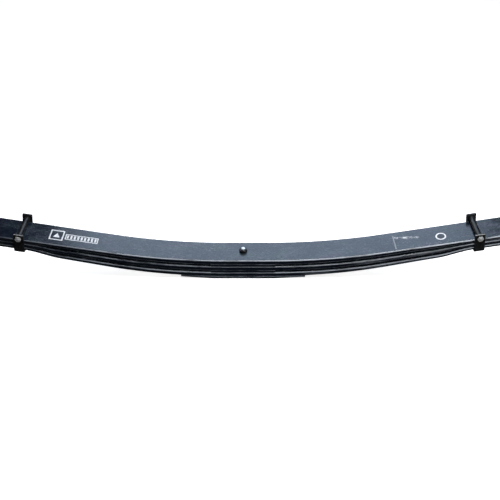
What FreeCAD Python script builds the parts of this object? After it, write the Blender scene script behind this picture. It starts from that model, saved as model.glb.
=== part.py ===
import FreeCAD, Part
import math
import os
import Sketcher

# A three-leaf parabolic leaf spring for a lorry's front axle, free and unloaded.
# Millimetres. X runs along the spring from the front eye (-X) to the rear eye (+X), Y across it, Z up.
# The origin is where the centre bolt's axis meets the face that sits on the axle.
# "Reach" is the distance from the centre bolt along the top of the main leaf, and "drop" is the depth
# under that top, square to it.

DRIVING_SIZES = [
    ("leafWidth", 90, "width of every leaf"),
    ("leafThick", 17, "leaf thickness at the centre"),
    ("tipThick", 11, "leaf thickness at the ends"),
    ("edgeRadius", 4, "rounding of the long edges"),
    ("taperFrom", 110, "reach where the leaves start to thin"),
    ("taperTo", 760, "reach where the leaves are down to tip thickness"),
    ("camberRadius", 1880, "bend radius of the main leaf's top"),
    ("camberAngle", 11, "slope of the straight ends, degrees"),
    ("spacerThick", 8, "spacers between the leaves at the centre"),
    ("spacerReach", 100, "half length of the spacers"),
    ("midGap", 9.5, "gap between leaves halfway along"),
    ("midGapFrom", 400, "reach where that gap is reached"),
    ("tipGap", 3.5, "gap between leaves at and beyond the clips"),
    ("closeLength", 110, "length over which the gap closes"),
    ("closeBefore", 15, "how far before the clip's middle it is closed"),
    ("plateThick", 8, "bottom plate under the stack"),
    ("plateReach", 195, "half length of the bottom plate"),
    ("plateFlat", 95, "half length of its flat seat"),
    ("plateTip", 3, "its thickness at the ends"),
    ("frontSeat", 50, "flat of the stack, forward of the bolt"),
    ("rearSeat", 80, "flat of the stack, behind the bolt"),
    ("frontClip", 679, "reach of the front clip"),
    ("rearClip", 717, "reach of the rear clip"),
    ("frontEye", 839, "reach where the front eye starts to curl"),
    ("rearEye", 877, "reach where the rear eye starts to curl"),
    ("eyeBore", 30, "inner radius of the rolled eyes"),
    ("eyeWrap", 315, "angle the eye curls through, degrees"),
    ("wrapAngle", 100, "angle the second leaf wraps under the eye, degrees"),
    ("wrapShift", 4, "how far the wrap stands out past the eye"),
    ("thirdLeafShort", 40, "how much the third leaf stops short of the eye"),
    ("cornerCut", 18, "trimmed corners of the third leaf"),
    ("padBeyond", 78, "tip pads, beyond the clip"),
    ("padLength", 60, "tip pad along the leaf"),
    ("padWidth", 54, "tip pad across the leaf"),
    ("padThick", 2.9, "tip pad thickness"),
    ("pegRadius", 6, "peg under the tip pad"),
    ("pegDepth", 7, "peg length"),
    ("fitGap", 0.3, "play between pieces that move on each other"),
    ("runningPlay", 0.05, "radial play of a running fit, and of a thread"),
    ("sleeveThick", 3, "bush outer sleeve wall"),
    ("sleeveHalf", 44, "half length of the outer sleeve"),
    ("innerRadius", 20, "outer radius of the inner sleeve"),
    ("pinRadius", 15, "bore of the inner sleeve, for the spring pin"),
    ("innerHalf", 49, "half length of the inner sleeve"),
    ("rubberDish", 4, "hollow in the ends of the rubber"),
    ("strapWidth", 30, "clip strap along the leaf"),
    ("strapThick", 6, "clip strap thickness"),
    ("strapPlay", 1.5, "play between leaf edge and strap"),
    ("strapBend", 4, "inner bend radius of the strap"),
    ("earHeight", 24, "ears above the main leaf's top"),
    ("earRound", 3, "rounding of the ear corners"),
    ("clipBoltHeight", 10.5, "clip bolt's axis above the main leaf's top"),
    ("clipBoltRadius", 5, "clip bolt shank"),
    ("clipBoltHole", 5.5, "its holes"),
    ("tubeRadius", 8, "spacer tube over the clip bolt"),
    ("hexAcross", 16, "clip bolt and nut, across flats"),
    ("hexHead", 6.4, "clip bolt head height"),
    ("clipNutHeight", 5, "clip nut height"),
    ("washerRadius", 9, "spring washer outer radius"),
    ("washerThick", 2.2, "spring washer thickness"),
    ("boltEnd", 1.5, "bolt standing out of the clip nut"),
    ("rivetRadius", 5, "clip rivet shank"),
    ("rivetHead", 9, "rivet head radius"),
    ("rivetDome", 5, "rivet head height"),
    ("centreBoltRadius", 7, "centre bolt shank"),
    ("centreBoltHole", 7.5, "its holes"),
    ("centreHeadRadius", 14, "countersunk head of the centre bolt"),
    ("centreNutAcross", 22, "centre nut across flats"),
    ("centreNutHeight", 9, "centre nut height"),
    ("centreBoltEnd", 4, "centre bolt standing out of its nut"),
    ("endBevel", 1.2, "bevel at the centre bolt's end"),
    ("hexBevel", 30, "slope of the bevel on nuts and heads, degrees"),
    ("hexInset", 0.3, "how far that bevel starts inside the flats"),
    ("overcut", 1, "how far a cut reaches past the solid"),
    ("stationStep", 40, "spacing of the points that a tapered face passes through"),
]

document = FreeCAD.newDocument("LeafSpring")
sheet = document.addObject("Spreadsheet::Sheet", "Sizes")
pieces = []


def fillSheet():
    for row, (alias, value, note) in enumerate(DRIVING_SIZES, start=1):
        sheet.set("A%d" % row, alias)
        sheet.set("B%d" % row, str(value))
        sheet.set("C%d" % row, note)
        sheet.setAlias("B%d" % row, alias)
    document.recompute()


def size(alias):
    return float(sheet.get(alias))


class Arm:
    """One half of the spring, from the centre bolt outwards."""

    def __init__(self, name, side):
        self.name = name
        self.side = side
        self.seat = size(name + "Seat")
        self.clip = size(name + "Clip")
        self.eye = size(name + "Eye")

    def slope(self, reach):
        return min(max(reach - self.seat, 0.0) / size("camberRadius"), math.radians(size("camberAngle")))

    def point(self, reach, drop):
        """Sketch point (x, z) at this reach and drop."""
        turn = self.slope(reach)
        radius = size("camberRadius")
        straight = max(reach - self.seat - radius * turn, 0.0)
        x = min(reach, self.seat) + radius * math.sin(turn) + straight * math.cos(turn)
        z = stackHeight() + radius * (1 - math.cos(turn)) + straight * math.sin(turn)
        return FreeCAD.Vector(self.side * (x + drop * math.sin(turn)), z - drop * math.cos(turn), 0)

    def heading(self, reach):
        """Unit vector along the leaf, outwards."""
        turn = self.slope(reach)
        return FreeCAD.Vector(self.side * math.cos(turn), math.sin(turn), 0)

    def around(self, reach, radius, angle):
        """Point of a curl of eye radius, turned by angle from where the curl starts, at this reach."""
        turn = self.slope(reach)
        centre = self.point(reach, -size("eyeBore"))
        swing = math.radians(angle) + turn
        return centre + FreeCAD.Vector(self.side * radius * math.sin(swing), -radius * math.cos(swing), 0)

    def place(self, reach, drop):
        """Placement whose Z is square to the leaf at this reach and drop."""
        at = self.point(reach, drop)
        tilt = FreeCAD.Rotation(FreeCAD.Vector(0, 1, 0), -self.side * math.degrees(self.slope(reach)))
        return FreeCAD.Placement(FreeCAD.Vector(at.x, 0, at.y), tilt)


def stackHeight():
    return size("plateThick") + 3 * size("leafThick") + 2 * size("spacerThick")


def ease(value, low, high):
    share = min(max((value - low) / (high - low), 0.0), 1.0)
    return share * share * (3 - 2 * share)


def thickness(reach):
    thinned = ease(reach, size("taperFrom"), size("taperTo"))
    return size("leafThick") - (size("leafThick") - size("tipThick")) * thinned


def gap(arm, reach):
    opened = ease(reach, size("taperFrom"), size("midGapFrom"))
    end = arm.clip - size("closeBefore")
    closed = ease(reach, end - size("closeLength"), end)
    wide = size("spacerThick") + (size("midGap") - size("spacerThick")) * opened
    return wide + (size("tipGap") - wide) * closed


def dropOf(arm, reach, leaves, gaps):
    """Depth under the main leaf's top after this many leaves and gaps."""
    return leaves * thickness(reach) + gaps * gap(arm, reach)


def flatFace(leaves, gaps):
    front, rear = arms
    drop = dropOf(front, 0, leaves, gaps)
    return Part.LineSegment(front.point(front.seat, drop), rear.point(rear.seat, drop))


def bentFace(arm, leaves, gaps, reach):
    """The round stretch of a face, from the flat seat out to this reach."""
    stops = [arm.seat, (arm.seat + reach) / 2, reach]
    return Part.Arc(*[arm.point(stop, dropOf(arm, 0, leaves, gaps)) for stop in stops])


def taperedFace(arm, leaves, gaps, end):
    """The rest of a face, a curve from where the taper starts out to its end."""
    start = size("taperFrom")
    steps = round((end - start) / size("stationStep"))
    stations = [start + (end - start) * step / steps for step in range(steps + 1)]
    curve = Part.BSplineCurve()
    curve.interpolate(
        Points=[arm.point(reach, dropOf(arm, reach, leaves, gaps)) for reach in stations],
        InitialTangent=arm.heading(start),
        FinalTangent=arm.heading(end),
    )
    return curve


def curl(arm, reach, radius, angle):
    """Arc of a rolled end, from the leaf round to this angle."""
    return Part.Arc(*[arm.around(reach, radius, angle * share) for share in (0, 0.5, 1)])


def eyeEnd(arm):
    bore = size("eyeBore")
    outside = bore + size("tipThick")
    wrap = size("eyeWrap")
    cut = Part.LineSegment(arm.around(arm.eye, bore, wrap), arm.around(arm.eye, outside, wrap))
    return [curl(arm, arm.eye, bore, wrap), cut, curl(arm, arm.eye, outside, wrap)]


def wrapEnd(arm):
    inside = size("eyeBore") + size("tipThick") + size("tipGap")
    outside = inside + size("tipThick")
    reach = arm.eye + size("wrapShift")
    wrap = size("wrapAngle")
    cut = Part.LineSegment(arm.around(reach, inside, wrap), arm.around(reach, outside, wrap))
    return [curl(arm, reach, inside, wrap), cut, curl(arm, reach, outside, wrap)]


def squareEnd(arm):
    reach = arm.eye - size("thirdLeafShort")
    top = arm.point(reach, dropOf(arm, reach, 2, 2))
    bottom = arm.point(reach, dropOf(arm, reach, 3, 2))
    return [Part.LineSegment(top, bottom)]


def newBody(label):
    body = document.addObject("PartDesign::Body", label)
    body.Label = label
    pieces.append(body)
    return body


def newSketch(body, role, geometry, offset=None):
    """A sketch on one of the body's own origin planes."""
    plane = [item for item in body.Origin.OriginFeatures if item.Role == role][0]
    sketch = body.newObject("Sketcher::SketchObject", body.Name + "Sketch")
    sketch.AttachmentSupport = [(plane, "")]
    sketch.MapMode = "FlatFace"
    if offset is not None:
        sketch.AttachmentOffset = offset
    sketch.addGeometry(geometry, False)
    return sketch


def circleSketch(body, role, radius, across=0.0, up=0.0, offset=None):
    """A sketch of one circle, its radius held by a constraint bound to the sheet."""
    centre = FreeCAD.Vector(across, up, 0)
    circle = Part.Circle(centre, FreeCAD.Vector(0, 0, 1), size(radius))
    sketch = newSketch(body, role, [circle], offset)
    held = sketch.addConstraint(Sketcher.Constraint("Radius", 0, size(radius)))
    sketch.setExpression("Constraints[%d]" % held, "Sizes." + radius)
    sketch.addConstraint(Sketcher.Constraint("DistanceX", -1, 1, 0, 3, across))
    sketch.addConstraint(Sketcher.Constraint("DistanceY", -1, 1, 0, 3, up))
    return sketch


def pad(body, sketch, length, both=False, downwards=False):
    feature = body.newObject("PartDesign::Pad", body.Name + "Pad")
    feature.Profile = sketch
    feature.setExpression("Length", length)
    feature.SideType = "Symmetric" if both else "One side"
    feature.Reversed = downwards
    document.recompute()
    return feature


def pocketThrough(body, sketch):
    """Cut right through, both ways, and check that something was cut."""
    before = body.Shape.Volume
    feature = body.newObject("PartDesign::Pocket", body.Name + "Pocket")
    feature.Profile = sketch
    feature.Type = "ThroughAll"
    feature.SideType = "Symmetric"
    document.recompute()
    if body.Shape.Volume >= before:
        raise RuntimeError(body.Label + ": a cut removed nothing")
    return feature


def dress(body, kind, amount, chosen):
    """A Fillet or Chamfer on the edges of the body that the test picks."""
    base = body.Tip
    names = ["Edge%d" % n for n, edge in enumerate(base.Shape.Edges, start=1) if chosen(edge)]
    feature = body.newObject("PartDesign::" + kind, body.Name + kind)
    feature.Base = (base, names)
    feature.setExpression("Radius" if kind == "Fillet" else "Size", amount)
    document.recompute()
    return feature


def revolve(body, outline):
    """Turn an outline in the body's XZ plane about its Z axis."""
    sketch = newSketch(body, "XZ_Plane", outline)
    feature = body.newObject("PartDesign::Revolution", body.Name + "Revolution")
    feature.Profile = sketch
    feature.ReferenceAxis = (sketch, ["V_Axis"])
    feature.Angle = 360
    document.recompute()
    return feature


def closed(points):
    return [Part.LineSegment(a, b) for a, b in zip(points, points[1:] + points[:1])]


def flat(x, y):
    return FreeCAD.Vector(x, y, 0)


def sideEdge(edge):
    """True for the long edges at a leaf's two sides, and not for the short ones of its cut ends."""
    edgeY = size("leafWidth") / 2
    onSide = all(abs(abs(vertex.Y) - edgeY) < 1e-3 for vertex in edge.Vertexes)
    runsAcross = edge.BoundBox.YLength > 1
    return onSide and not runsAcross and edge.Length > 2 * size("tipThick")


def leafOutline(above, ends, reaches):
    """Top, bottom and ends of a leaf that has this many leaves, and as many gaps, above it."""
    outline = [flatFace(above, above), flatFace(above + 1, above)]
    for arm, end, reach in zip(arms, ends, reaches):
        for leaves in (above, above + 1):
            outline.append(bentFace(arm, leaves, above, size("taperFrom")))
            outline.append(taperedFace(arm, leaves, above, reach))
        outline.extend(end)
    return outline


def makeLeaf(label, above, ends, reaches):
    body = newBody(label)
    pad(body, newSketch(body, "XZ_Plane", leafOutline(above, ends, reaches)), "Sizes.leafWidth", both=True)
    pocketThrough(body, circleSketch(body, "XY_Plane", "centreBoltHole"))
    return body


def roundLongEdges(body):
    dress(body, "Fillet", "Sizes.edgeRadius", sideEdge)


def makeMainLeaf():
    body = makeLeaf("main_leaf", 0, [eyeEnd(arm) for arm in arms], [arm.eye for arm in arms])
    roundLongEdges(body)


def makeSecondLeaf():
    reaches = [arm.eye + size("wrapShift") for arm in arms]
    body = makeLeaf("second_leaf", 1, [wrapEnd(arm) for arm in arms], reaches)
    for arm in arms:
        clearHole(body, arm.place(arm.clip + size("padBeyond"), 0), "pegRadius")
    roundLongEdges(body)


def makeThirdLeaf():
    reaches = [arm.eye - size("thirdLeafShort") for arm in arms]
    body = makeLeaf("third_leaf", 2, [squareEnd(arm) for arm in arms], reaches)
    for arm in arms:
        clearHole(body, arm.place(arm.clip + size("padBeyond"), 0), "pegRadius")
        clearHole(body, arm.place(arm.clip, 0), "rivetRadius")
        trimCorners(body, arm)
    roundLongEdges(body)


def clearHole(body, place, radius):
    """A hole square to the leaf, with play round a peg or shank of this radius."""
    sketch = circleSketch(body, "XY_Plane", radius, offset=place)
    sketch.setExpression("Constraints[0]", "Sizes.%s + Sizes.fitGap" % radius)
    pocketThrough(body, sketch)


def trimCorners(body, arm):
    """Cut the two corners off the end of the third leaf, seen from above."""
    cut = size("cornerCut")
    half = size("leafWidth") / 2
    end = arm.place(arm.eye - size("thirdLeafShort"), 0)
    for across in (-1, 1):
        past = size("overcut")
        corner = [flat(-arm.side * cut, across * (half + past))]
        corner.append(flat(arm.side * past, across * (half + past)))
        corner.append(flat(arm.side * past, across * (half - cut)))
        pocketThrough(body, newSketch(body, "XY_Plane", closed(corner), end))


def makeSpacer(label, leaves, gaps):
    """A flat liner between two leaves at the centre."""
    body = newBody(label)
    reach = size("spacerReach")
    outline = [flatFace(leaves, gaps), flatFace(leaves, gaps + 1)]
    for arm in arms:
        outline.append(bentFace(arm, leaves, gaps, reach))
        outline.append(bentFace(arm, leaves, gaps + 1, reach))
        drops = [dropOf(arm, 0, leaves, gaps), dropOf(arm, 0, leaves, gaps + 1)]
        outline.append(Part.LineSegment(arm.point(reach, drops[0]), arm.point(reach, drops[1])))
    pad(body, newSketch(body, "XZ_Plane", outline), "Sizes.leafWidth", both=True)
    pocketThrough(body, circleSketch(body, "XY_Plane", "centreBoltHole"))


def makeBottomPlate():
    """Under the stack: flat below, its ends thinned and running straight on along the leaf."""
    body = newBody("bottom_plate")
    outline = [flatFace(3, 2)]
    lower = []
    for arm in arms:
        start = size("taperFrom")
        rest = size("plateReach") - start
        drop = dropOf(arm, 0, 3, 2)
        upperTip = arm.point(start, drop) + arm.heading(start) * rest
        lowerTip = upperTip - flat(0, size("plateTip"))
        flatEnd = flat(arm.side * size("plateFlat"), 0)
        outline.append(bentFace(arm, 3, 2, start))
        outline.append(Part.LineSegment(arm.point(start, drop), upperTip))
        outline.append(Part.LineSegment(upperTip, lowerTip))
        outline.append(Part.LineSegment(lowerTip, flatEnd))
        lower.append(flatEnd)
    outline.append(Part.LineSegment(*lower))
    pad(body, newSketch(body, "XZ_Plane", outline), "Sizes.leafWidth", both=True)
    pocketThrough(body, circleSketch(body, "XY_Plane", "centreBoltHole"))
    dress(body, "Chamfer", "Sizes.centreHeadRadius - Sizes.centreBoltHole", bottomHoleEdge)


def bottomHoleEdge(edge):
    return edge.BoundBox.ZMax < 1e-3 and edge.BoundBox.DiagonalLength < 4 * size("centreBoltHole")


def makeCentreBolt():
    """Countersunk head flush inside the bottom plate, shank up through the stack and its nut."""
    body = newBody("centre_bolt")
    shank = size("centreBoltRadius")
    wide = size("centreHeadRadius") - size("fitGap")
    top = stackHeight() + size("centreNutHeight") + size("centreBoltEnd")
    bevel = size("endBevel")
    points = [flat(0, 0), flat(wide, 0), flat(shank, wide - shank)]
    points += [flat(shank, top - bevel), flat(shank - bevel, top), flat(0, top)]
    revolve(body, closed(points))


def hexagon(across):
    radius = across / math.sqrt(3)
    corners = [math.radians(60 * corner) for corner in range(6)]
    return closed([flat(radius * math.cos(turn), radius * math.sin(turn)) for turn in corners])


def bevelHexagon(body, across, height):
    """Turn the corners off the top of a hexagon."""
    inside = across / 2 - size("hexInset")
    outside = across / math.sqrt(3) + size("overcut")
    fall = (outside - inside) * math.tan(math.radians(size("hexBevel")))
    above = height + size("overcut")
    low = height - fall
    section = closed([flat(inside, above), flat(inside, height), flat(outside, low), flat(outside, above)])
    sketch = newSketch(body, "XZ_Plane", section)
    before = body.Shape.Volume
    groove = body.newObject("PartDesign::Groove", body.Name + "Groove")
    groove.Profile = sketch
    groove.ReferenceAxis = (sketch, ["V_Axis"])
    groove.Angle = 360
    document.recompute()
    if body.Shape.Volume >= before:
        raise RuntimeError(body.Label + ": the bevel removed nothing")


def makeNut(label, across, height, hole, place):
    body = newBody(label)
    pad(body, newSketch(body, "XY_Plane", hexagon(size(across))), "Sizes." + height)
    bevelHexagon(body, size(across), size(height))
    threaded = circleSketch(body, "XY_Plane", hole)
    threaded.setExpression("Constraints[0]", "Sizes.%s + Sizes.runningPlay" % hole)
    pocketThrough(body, threaded)
    body.Placement = place


def makeClipBolt(arm):
    """Hexagon head on the +Y ear, shank through the tube and both ears."""
    body = newBody(arm.name + "_clip_bolt")
    pad(body, newSketch(body, "XY_Plane", hexagon(size("hexAcross"))), "Sizes.hexHead")
    bevelHexagon(body, size("hexAcross"), size("hexHead"))
    length = ("Sizes.leafWidth + 2 * Sizes.strapPlay + 2 * Sizes.strapThick"
              " + Sizes.washerThick + Sizes.clipNutHeight + Sizes.boltEnd")
    pad(body, circleSketch(body, "XY_Plane", "clipBoltRadius"), length, downwards=True)
    body.Placement = clipPlace(arm, strapHalf(), False)


def strapHalf():
    return size("leafWidth") / 2 + size("strapPlay") + size("strapThick")


def strapDrop(arm):
    """Drop of the strap's base, just clear of the third leaf where that is deepest inside the clip."""
    return dropOf(arm, arm.clip - size("strapWidth") / 2, 3, 2) + size("fitGap")


def clipPlace(arm, across, towardsNear):
    """Placement on the clip bolt's axis, at this distance across, its Z pointing to -Y or +Y."""
    turn = FreeCAD.Rotation(FreeCAD.Vector(1, 0, 0), 90 if towardsNear else -90)
    local = FreeCAD.Placement(FreeCAD.Vector(0, across, size("clipBoltHeight")), turn)
    return arm.place(arm.clip, 0).multiply(local)


def makeClipStrap(arm):
    """A bent strap round the stack, riveted under the third leaf, with an ear up each side."""
    body = newBody(arm.name + "_clip_strap")
    inner = size("leafWidth") / 2 + size("strapPlay")
    outer = strapHalf()
    bend = size("strapBend")
    bendOut = bend + size("strapThick")
    inside = -strapDrop(arm)
    outside = inside - size("strapThick")
    ear = size("earHeight")
    lean = math.sqrt(0.5)
    outline = [Part.LineSegment(flat(-outer + bendOut, outside), flat(outer - bendOut, outside))]
    outline.append(Part.LineSegment(flat(-inner + bend, inside), flat(inner - bend, inside)))
    for hand in (-1, 1):
        outline.append(Part.Arc(
            flat(hand * (outer - bendOut), outside),
            flat(hand * (outer - bendOut + bendOut * lean), outside + bendOut - bendOut * lean),
            flat(hand * outer, outside + bendOut)))
        outline.append(Part.Arc(
            flat(hand * (inner - bend), inside),
            flat(hand * (inner - bend + bend * lean), inside + bend - bend * lean),
            flat(hand * inner, inside + bend)))
        outline.append(Part.LineSegment(flat(hand * outer, outside + bendOut), flat(hand * outer, ear)))
        outline.append(Part.LineSegment(flat(hand * inner, inside + bend), flat(hand * inner, ear)))
        outline.append(Part.LineSegment(flat(hand * inner, ear), flat(hand * outer, ear)))
    pad(body, newSketch(body, "YZ_Plane", outline), "Sizes.strapWidth", both=True)
    height = size("clipBoltHeight")
    pocketThrough(body, circleSketch(body, "XZ_Plane", "clipBoltHole", up=height))
    pocketThrough(body, circleSketch(body, "XY_Plane", "rivetRadius"))
    dress(body, "Fillet", "Sizes.earRound", earCorner)
    body.Placement = arm.place(arm.clip, 0)


def earCorner(edge):
    box = edge.BoundBox
    return box.ZMin > size("earHeight") - 1e-3 and box.XLength < 1e-3


def makeRing(label, outer, inner, length, place):
    """A plain ring along Y, centred on its placement."""
    body = newBody(label)
    pad(body, circleSketch(body, "XZ_Plane", outer), length, both=True)
    pocketThrough(body, circleSketch(body, "XZ_Plane", inner))
    body.Placement = place
    return body


def makeClipTube(arm):
    length = "Sizes.leafWidth + 2 * Sizes.strapPlay"
    local = FreeCAD.Placement(FreeCAD.Vector(0, 0, size("clipBoltHeight")), FreeCAD.Rotation())
    place = arm.place(arm.clip, 0).multiply(local)
    makeRing(arm.name + "_clip_tube", "tubeRadius", "clipBoltHole", length, place)


def makeClipWasher(arm):
    middle = -strapHalf() - size("washerThick") / 2
    local = FreeCAD.Placement(FreeCAD.Vector(0, middle, size("clipBoltHeight")), FreeCAD.Rotation())
    makeRing(arm.name + "_clip_washer", "washerRadius", "clipBoltHole", "Sizes.washerThick",
             arm.place(arm.clip, 0).multiply(local))


def makeClipRivet(arm):
    """Domed head under the strap, shank up through the third leaf."""
    body = newBody(arm.name + "_clip_rivet")
    shank = size("rivetRadius")
    head = size("rivetHead")
    under = -strapDrop(arm) - size("strapThick")
    top = -dropOf(arm, arm.clip, 2, 2) - size("fitGap")
    low = under - size("rivetDome")
    side = head * math.sin(math.radians(45))
    dip = under - size("rivetDome") * math.sin(math.radians(45))
    outline = [Part.Arc(flat(0, low), flat(side, dip), flat(head, under))]
    points = [flat(head, under), flat(shank, under), flat(shank, top), flat(0, top), flat(0, low)]
    outline += [Part.LineSegment(a, b) for a, b in zip(points, points[1:])]
    revolve(body, outline)
    body.Placement = arm.place(arm.clip, 0)


def makeTipPad(arm, level, above):
    """A thin slide pad on the leaf below, held by a peg in that leaf's hole."""
    body = newBody(arm.name + "_" + level + "_tip_pad")
    half = size("padLength") / 2
    side = size("padWidth") / 2
    corners = [flat(-half, -side), flat(half, -side), flat(half, side), flat(-half, side)]
    pad(body, newSketch(body, "XY_Plane", closed(corners)), "Sizes.padThick", both=True)
    dress(body, "Fillet", "Sizes.pegRadius", uprightEdge)
    pad(body, circleSketch(body, "XY_Plane", "pegRadius"), "Sizes.pegDepth", downwards=True)
    reach = arm.clip + size("padBeyond")
    drop = dropOf(arm, reach, above, above - 1) + size("tipGap") / 2
    body.Placement = arm.place(reach, drop)


def uprightEdge(edge):
    return edge.BoundBox.XLength < 1e-3 and edge.BoundBox.YLength < 1e-3


def eyePlace(arm):
    return arm.place(arm.eye, -size("eyeBore"))


def makeBushOuter(arm):
    """Steel sleeve pressed into the rolled eye."""
    body = newBody(arm.name + "_bush_outer_sleeve")
    outer = circleSketch(body, "XZ_Plane", "eyeBore")
    outer.setExpression("Constraints[0]", "Sizes.eyeBore - Sizes.runningPlay")
    pad(body, outer, "2 * Sizes.sleeveHalf", both=True)
    inner = circleSketch(body, "XZ_Plane", "eyeBore")
    inner.setExpression("Constraints[0]", "Sizes.eyeBore - Sizes.sleeveThick")
    pocketThrough(body, inner)
    body.Placement = eyePlace(arm)


def makeBushRubber(arm):
    """Rubber ring between the sleeves, hollowed at both ends."""
    body = newBody(arm.name + "_bush_rubber")
    outer = size("eyeBore") - size("sleeveThick")
    inner = size("innerRadius") + size("runningPlay")
    half = size("sleeveHalf")
    dished = half - size("rubberDish")
    middle = (outer + inner) / 2
    outline = [
        Part.LineSegment(flat(outer, -half), flat(outer, half)),
        Part.Arc(flat(outer, half), flat(middle, dished), flat(inner, half)),
        Part.LineSegment(flat(inner, half), flat(inner, -half)),
        Part.Arc(flat(inner, -half), flat(middle, -dished), flat(outer, -half)),
    ]
    revolve(body, outline)
    along = FreeCAD.Rotation(FreeCAD.Vector(1, 0, 0), -90)
    body.Placement = eyePlace(arm).multiply(FreeCAD.Placement(FreeCAD.Vector(), along))


def makeBushInner(arm):
    place = eyePlace(arm)
    makeRing(arm.name + "_bush_inner_sleeve", "innerRadius", "pinRadius", "2 * Sizes.innerHalf", place)


def makeClip(arm):
    makeClipStrap(arm)
    makeClipTube(arm)
    makeClipBolt(arm)
    makeClipWasher(arm)
    outerFace = strapHalf() + size("washerThick")
    makeNut(arm.name + "_clip_nut", "hexAcross", "clipNutHeight", "clipBoltRadius",
            clipPlace(arm, -outerFace, True))
    makeClipRivet(arm)


def checkPieces():
    for item in document.Objects:
        if "Invalid" in item.State or "Error" in item.State:
            raise RuntimeError(item.Label + " failed to compute")
    for piece in pieces:
        if piece.Shape.isNull() or not piece.Shape.isValid():
            raise RuntimeError(piece.Label + " has no valid shape")
        if len(piece.Shape.Solids) != 1:
            raise RuntimeError(piece.Label + " is not one solid")


def writePieces():
    os.makedirs("parts", exist_ok=True)
    for piece in pieces:
        piece.Shape.exportStep("parts/" + piece.Label + ".step")
        box = piece.Shape.BoundBox
        print("%-26s %9.1f mm3   X %7.1f %7.1f   Y %6.1f %6.1f   Z %6.1f %6.1f" % (
            piece.Label, piece.Shape.Volume, box.XMin, box.XMax, box.YMin, box.YMax, box.ZMin, box.ZMax))


fillSheet()
arms = [Arm("front", -1), Arm("rear", 1)]
makeMainLeaf()
makeSecondLeaf()
makeThirdLeaf()
makeSpacer("upper_spacer", 1, 0)
makeSpacer("lower_spacer", 2, 1)
makeBottomPlate()
makeCentreBolt()
makeNut("centre_nut", "centreNutAcross", "centreNutHeight", "centreBoltRadius",
        FreeCAD.Placement(FreeCAD.Vector(0, 0, stackHeight()), FreeCAD.Rotation()))
for arm in arms:
    makeClip(arm)
    makeTipPad(arm, "upper", 1)
    makeTipPad(arm, "lower", 2)
    makeBushOuter(arm)
    makeBushRubber(arm)
    makeBushInner(arm)
document.recompute()
checkPieces()
writePieces()
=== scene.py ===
import bpy
import bmesh
import math
from mathutils import Matrix, Vector, noise


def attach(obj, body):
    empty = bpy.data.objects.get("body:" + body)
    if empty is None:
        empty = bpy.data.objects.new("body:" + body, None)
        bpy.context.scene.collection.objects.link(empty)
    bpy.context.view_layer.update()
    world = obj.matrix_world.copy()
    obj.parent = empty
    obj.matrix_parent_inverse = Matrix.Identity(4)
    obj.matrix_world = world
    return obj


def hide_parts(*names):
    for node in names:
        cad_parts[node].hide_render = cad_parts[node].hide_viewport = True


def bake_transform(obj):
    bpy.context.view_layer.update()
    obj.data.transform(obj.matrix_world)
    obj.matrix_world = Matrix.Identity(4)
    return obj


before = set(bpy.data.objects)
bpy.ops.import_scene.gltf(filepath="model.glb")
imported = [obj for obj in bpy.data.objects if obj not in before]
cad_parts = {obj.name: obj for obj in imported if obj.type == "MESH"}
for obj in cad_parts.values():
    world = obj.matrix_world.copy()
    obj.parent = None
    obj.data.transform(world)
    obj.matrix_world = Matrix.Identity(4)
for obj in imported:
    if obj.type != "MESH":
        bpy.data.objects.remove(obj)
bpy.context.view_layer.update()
print("frame loaded:", len(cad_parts), "nodes")

# The spring's own shape, in metres. Reach is measured along the top of the main leaf from the centre bolt,
# and drop is the depth under that top, square to it.
spring = {
    "width": 0.09, "thick": 0.017, "tip": 0.011, "edge": 0.004, "stack": 0.075,
    "taperFrom": 0.11, "taperTo": 0.76, "bend": 1.88, "slope": math.radians(11),
    "spacer": 0.008, "midGap": 0.0095, "midGapFrom": 0.4, "tipGap": 0.0035, "closing": 0.11,
    "closedBefore": 0.015,
    "eyeBore": 0.03, "eyeWrap": math.radians(315), "wrap": math.radians(100), "wrapShift": 0.004,
    "thirdShort": 0.04,
    "fit": 0.0003, "running": 0.00005,
}
arms = {
    "front": {"side": -1, "seat": 0.05, "clip": 0.679, "eye": 0.839},
    "rear": {"side": 1, "seat": 0.08, "clip": 0.717, "eye": 0.877},
}


def ease(value, low, high):
    share = min(max((value - low) / (high - low), 0), 1)
    return share * share * (3 - 2 * share)


def leafThick(reach):
    return spring["thick"] - (spring["thick"] - spring["tip"]) * ease(reach, spring["taperFrom"],
                                                                      spring["taperTo"])


def leafGap(arm, reach):
    end = arm["clip"] - spring["closedBefore"]
    wide = spring["spacer"] + (spring["midGap"] - spring["spacer"]) * ease(reach, spring["taperFrom"],
                                                                           spring["midGapFrom"])
    return wide + (spring["tipGap"] - wide) * ease(reach, end - spring["closing"], end)


def dropOf(arm, reach, leaves, gaps):
    return leaves * leafThick(reach) + gaps * leafGap(arm, reach)


def leafSlope(arm, reach):
    return min(max(reach - arm["seat"], 0) / spring["bend"], spring["slope"])


def onLeaf(arm, reach, drop=0.0, across=0.0):
    turn = leafSlope(arm, reach)
    straight = max(reach - arm["seat"] - spring["bend"] * turn, 0)
    x = (min(reach, arm["seat"]) + spring["bend"] * math.sin(turn) + straight * math.cos(turn)
         + drop * math.sin(turn))
    z = (spring["stack"] + spring["bend"] * (1 - math.cos(turn)) + straight * math.sin(turn)
         - drop * math.cos(turn))
    return Vector((arm["side"] * x, across, z))


def onCurl(arm, reach, radius, angle, across=0.0):
    centre = onLeaf(arm, reach, -spring["eyeBore"])
    swing = leafSlope(arm, reach) + angle
    return centre + Vector((arm["side"] * radius * math.sin(swing), across, -radius * math.cos(swing)))


# stands a piece on the leaf at this reach, square to it
def leafFrame(arm, reach, drop=0.0):
    return Matrix.Translation(onLeaf(arm, reach,
                                     drop)) @ Matrix.Rotation(-arm["side"] * leafSlope(arm, reach), 4, "Y")


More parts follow.
